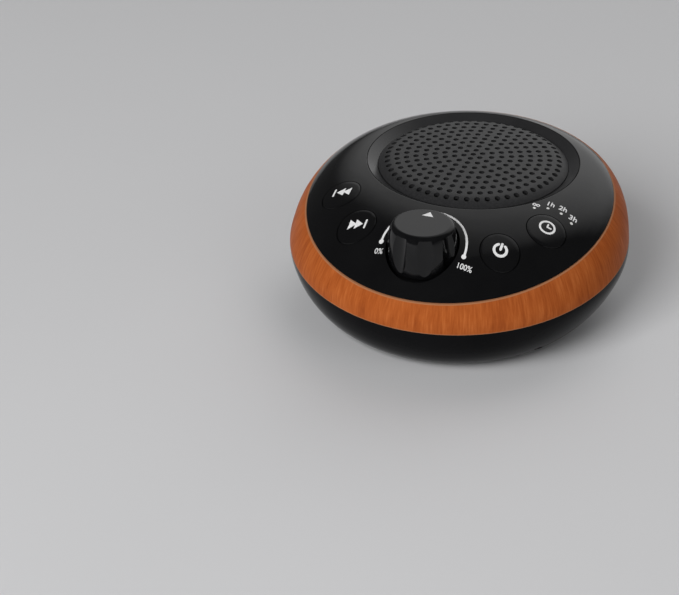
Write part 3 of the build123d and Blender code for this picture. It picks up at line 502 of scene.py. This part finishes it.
def arc_band(x, y, radius, width, start, end, steps):
    """Loop of an arc-shaped stroke with round ends; angles in degrees from +X."""
    half = width / 2
    way = 1 if end > start else -1
    turns = [math.radians(start + (end - start) * step / steps) for step in range(steps + 1)]
    outer = [on_circle(x, y, radius + half, turn) for turn in turns]
    inner = [on_circle(x, y, radius - half, turn) for turn in reversed(turns)]
    first = round_end(on_circle(x, y, radius, turns[0]), half, turns[0] + math.pi, way)
    last = round_end(on_circle(x, y, radius, turns[-1]), half, turns[-1], way)
    return outer + last + inner + first


DISC_STEPS = 48


def disc(x, y, radius):
    """Loop of a round dot."""
    return [on_circle(x, y, radius, math.tau * step / DISC_STEPS) for step in range(DISC_STEPS)]


def stroke(x1, y1, x2, y2, width):
    """Loop of a straight stroke with round ends."""
    along = math.atan2(y2 - y1, x2 - x1)
    half = width / 2
    part = math.pi / END_STEPS
    loop = []
    for x, y, start in ((x2, y2, along - math.pi / 2), (x1, y1, along + math.pi / 2)):
        loop += [on_circle(x, y, half, start + part * step) for step in range(END_STEPS + 1)]
    return loop


def centre(node):
    """Middle of a CAD node in plan, in millimetres."""
    low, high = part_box(node)
    return (low.x + high.x) / 2 / MM, (low.y + high.y) / 2 / MM


# How far each symbol's middle stands behind its cap's middle (mm)
SYMBOL_RISES = {"previous_button": 1.0, "next_button": 0.55, "power_button": 0.45, "timer_button": 1.2}
BAR_REACH = 2.95
BAR_HALF = 1.5
BAR_WIDTH = 0.65
ARROW_HALF = 1.85
ARROWS = {"lead": (2.1, -0.7), "trail": (-0.2, -3.0)}
POWER_RADIUS = 2.1
POWER_RING_WIDTH = 0.9
POWER_STROKE_WIDTH = 0.85
POWER_STROKE = (0.2, 2.3)
POWER_OPENING = (122, 418)
CLOCK_OUTER = 2.82
CLOCK_INNER = 2.12
HAND_WIDTH = 0.55
MINUTE_HAND = 1.3
HOUR_HAND = (0.1, 1.25)
ARC_STEPS = 48


def track_symbol(node, way, x, y):
    """A bar and two arrowheads that point to it."""
    bar = x + way * BAR_REACH
    shapes = [(node, "bar", [stroke(bar, y - BAR_HALF, bar, y + BAR_HALF, BAR_WIDTH)])]
    for label, (tip, base) in ARROWS.items():
        foot = x + way * base
        arrow = [(x + way * tip, y), (foot, y + ARROW_HALF), (foot, y - ARROW_HALF)]
        shapes.append((node, label, [arrow]))
    return shapes


def print_symbols(ink):
    """Track, power and timer symbols on their caps."""
    spots = {}
    for node, rise in SYMBOL_RISES.items():
        x, y = centre(node)
        spots[node] = (x, y + rise)

    shapes = track_symbol("previous_button", -1, *spots["previous_button"])
    shapes += track_symbol("next_button", 1, *spots["next_button"])
    x, y = spots["power_button"]
    ring = arc_band(x, y, POWER_RADIUS, POWER_RING_WIDTH, *POWER_OPENING, ARC_STEPS)
    low, high = POWER_STROKE
    shapes += [
        ("power_button", "ring", [ring]),
        ("power_button", "stroke", [stroke(x, y + low, x, y + high, POWER_STROKE_WIDTH)]),
    ]
    x, y = spots["timer_button"]
    start, end = HOUR_HAND
    shapes += [
        ("timer_button", "ring", [disc(x, y, CLOCK_OUTER), disc(x, y, CLOCK_INNER)]),
        ("timer_button", "minute_hand", [stroke(x, y, x, y + MINUTE_HAND, HAND_WIDTH)]),
        ("timer_button", "hour_hand", [stroke(x + start, y, x + end, y, HAND_WIDTH)]),
    ]
    carriers = {node: Carrier(node) for node in SYMBOL_RISES}
    for node, label, loops in shapes:
        lay(outline(loops), carriers[node], f"{node}_{label}", ink)


SCALE_SHIFT = 0.3
SCALE_RADIUS = 14.5
SCALE_WIDTH = 0.75
SCALE_ENDS = {"low": 183, "high": -3}
SCALE_DOT = 0.8
SCALE_STEPS = 60
POINTER_REACH = 7.8
POINTER_HALF = 1.95
POINTER_LENGTH = 3.0
ENDLESS_SPOT = (30.3, -10.65)
ENDLESS_SPREAD = 0.62
ENDLESS_OUTER = 0.7
ENDLESS_INNER = 0.34
# Name, text, place in X and Y, letter size and how much bolder the strokes are (mm)
LABELS = (
    ("volume_low_label", "0%", -13.9, -45.4, 2.5, 0.02),
    ("volume_high_label", "100%", 16.0, -45.3, 2.5, 0.02),
    ("timer_label_one_hour", "1h", 34.6, -7.95, 3.05, 0.05),
    ("timer_label_two_hours", "2h", 39.0, -7.9, 3.05, 0.05),
    ("timer_label_three_hours", "3h", 43.15, -10.1, 3.05, 0.05),
)


def print_scales(ink):
    """Volume scale round the knob, the knob's pointer and the labels."""
    cover = Carrier("top_cover")
    x, y = centre("pot_nut")
    middle = (x + SCALE_SHIFT, y - SCALE_SHIFT)
    sweep = arc_band(*middle, SCALE_RADIUS, SCALE_WIDTH, *SCALE_ENDS.values(), SCALE_STEPS)
    lay(outline([sweep]), cover, "volume_scale", ink)
    for label, turn in SCALE_ENDS.items():
        dot = disc(*on_circle(*middle, SCALE_RADIUS, math.radians(turn)), SCALE_DOT)
        lay(outline([dot]), cover, f"volume_scale_{label}_dot", ink)

    tip = y + POINTER_REACH
    foot = tip - POINTER_LENGTH
    pointer = [(x, tip), (x - POINTER_HALF, foot), (x + POINTER_HALF, foot)]
    lay(outline([pointer]), Carrier("volume_knob"), "knob_pointer", ink)

    across, along = ENDLESS_SPOT
    for label, shift in (("left", -ENDLESS_SPREAD), ("right", ENDLESS_SPREAD)):
        rings = [disc(across + shift, along, radius) for radius in (ENDLESS_OUTER, ENDLESS_INNER)]
        lay(outline(rings), cover, f"timer_label_endless_{label}", ink)
    for name, text, label_x, label_y, size, bold in LABELS:
        lay(lettering(text, label_x, label_y, size, bold), cover, name, ink)


# ---------------------------------------------------------------- stage and light


FLOOR_REACH = 4.0


def add_floor():
    """A wide pale floor that the machine stands on."""
    mesh = bpy.data.meshes.new("floor")
    signs = ((-1, -1), (1, -1), (1, 1), (-1, 1))
    corners = [(across * FLOOR_REACH, along * FLOOR_REACH, 0) for across, along in signs]
    mesh.from_pydata(corners, [], [(0, 1, 2, 3)])
    floor = bpy.data.objects.new("floor", mesh)
    scene.collection.objects.link(floor)
    paper = mottled("floor_paper", (0.66, 0.66, 0.67), (0.68, 0.68, 0.69), 3.0, (0.6, 0.7))
    mesh.materials.append(paper)


# The world is bright on one side, in a band that widens with height up to BAND_TOP
BRIGHT_SIDE = (0.0, 1.0, 0.0)
BAND_TOP = 0.5
BAND_EDGE_LOW = 0.88
BAND_EDGE_HIGH = 0.6
BAND_LEVEL = 0.95
DIM_LEVEL = 0.07
# Height in the world (0 level, 1 straight up) and how bright the band is there
BAND_STOPS = (
    (0.0, 0.80),
    (0.25, 0.70),
    (0.45, 0.85),
    (0.60, 0.82),
    (0.75, 0.68),
    (0.90, 0.48),
    (1.0, 0.12),
)

# Name, place, size and power of each lamp, all turned to the middle of the machine
LAMPS = (
    ("key_lamp", (-0.42, -1.35, 1.0), 1.0, 25.0),
    ("fill_lamp", (1.2, -0.5, 0.9), 1.0, 3.0),
    ("back_lamp", (0.1, 1.2, 1.1), 1.2, 3.0),
)
LAMP_TARGET = (0, 0, 0.02)


def add_world():
    """A dim world with one bright side, which stands behind the machine."""
    world = bpy.data.worlds.new("studio")
    scene.world = world
    world.use_nodes = True
    nodes = world.node_tree.nodes
    links = world.node_tree.links

    def step(kind, *values, **settings):
        made = nodes.new(kind)
        for key, value in settings.items():
            setattr(made, key, value)
        for index, value in enumerate(values):
            if isinstance(value, bpy.types.NodeSocket):
                links.new(value, made.inputs[index])
            else:
                made.inputs[index].default_value = value
        return made

    way = nodes.new("ShaderNodeTexCoord").outputs["Generated"]
    level_way = step("ShaderNodeVectorMath", way, (1, 1, 0), operation="MULTIPLY").outputs[0]
    heading = step("ShaderNodeVectorMath", level_way, operation="NORMALIZE").outputs[0]
    facing = step("ShaderNodeVectorMath", heading, BRIGHT_SIDE, operation="DOT_PRODUCT").outputs["Value"]
    height = step("ShaderNodeSeparateXYZ", way).outputs["Z"]
    edges = (0.0, BAND_TOP, BAND_EDGE_LOW, BAND_EDGE_HIGH)
    narrow = step("ShaderNodeMapRange", height, *edges).outputs[0]
    spread = (facing, narrow, 1.0, 0.0, BAND_LEVEL)
    side = step("ShaderNodeMapRange", *spread, interpolation_type="SMOOTHSTEP").outputs[0]
    ramp = step("ShaderNodeValToRGB", height)
    elements = ramp.color_ramp.elements
    while len(elements) < len(BAND_STOPS):
        elements.new(0.5)
    for element, (where, level) in zip(elements, BAND_STOPS):
        element.position = where
        element.color = (level, level, level, 1)
    bright = step("ShaderNodeMath", side, ramp.outputs[0], operation="MULTIPLY").outputs[0]
    total = step("ShaderNodeMath", bright, DIM_LEVEL, operation="ADD").outputs[0]
    background = nodes["Background"]
    background.inputs["Color"].default_value = (1, 1, 1, 1)
    links.new(total, background.inputs["Strength"])


def add_lamps():
    """Soft area lamps that light the machine but aren't mirrored in it."""
    for name, spot, size, power in LAMPS:
        data = bpy.data.lights.new(name, "AREA")
        data.energy = power
        data.size = size
        lamp = bpy.data.objects.new(name, data)
        lamp.location = spot
        lamp.rotation_euler = (Vector(LAMP_TARGET) - Vector(spot)).to_track_quat("-Z", "Y").to_euler()
        lamp.visible_glossy = False
        scene.collection.objects.link(lamp)


add_camera()
dress_nodes(build_materials())
for cap in CAPS:
    soften_edges(cap)
ink = mottled("white_ink", (0.80, 0.80, 0.80), (0.90, 0.90, 0.90), 900.0, (0.45, 0.6))
print_symbols(ink)
print_scales(ink)
add_floor()
add_world()
add_lamps()
scene.view_settings.view_transform = "Standard"
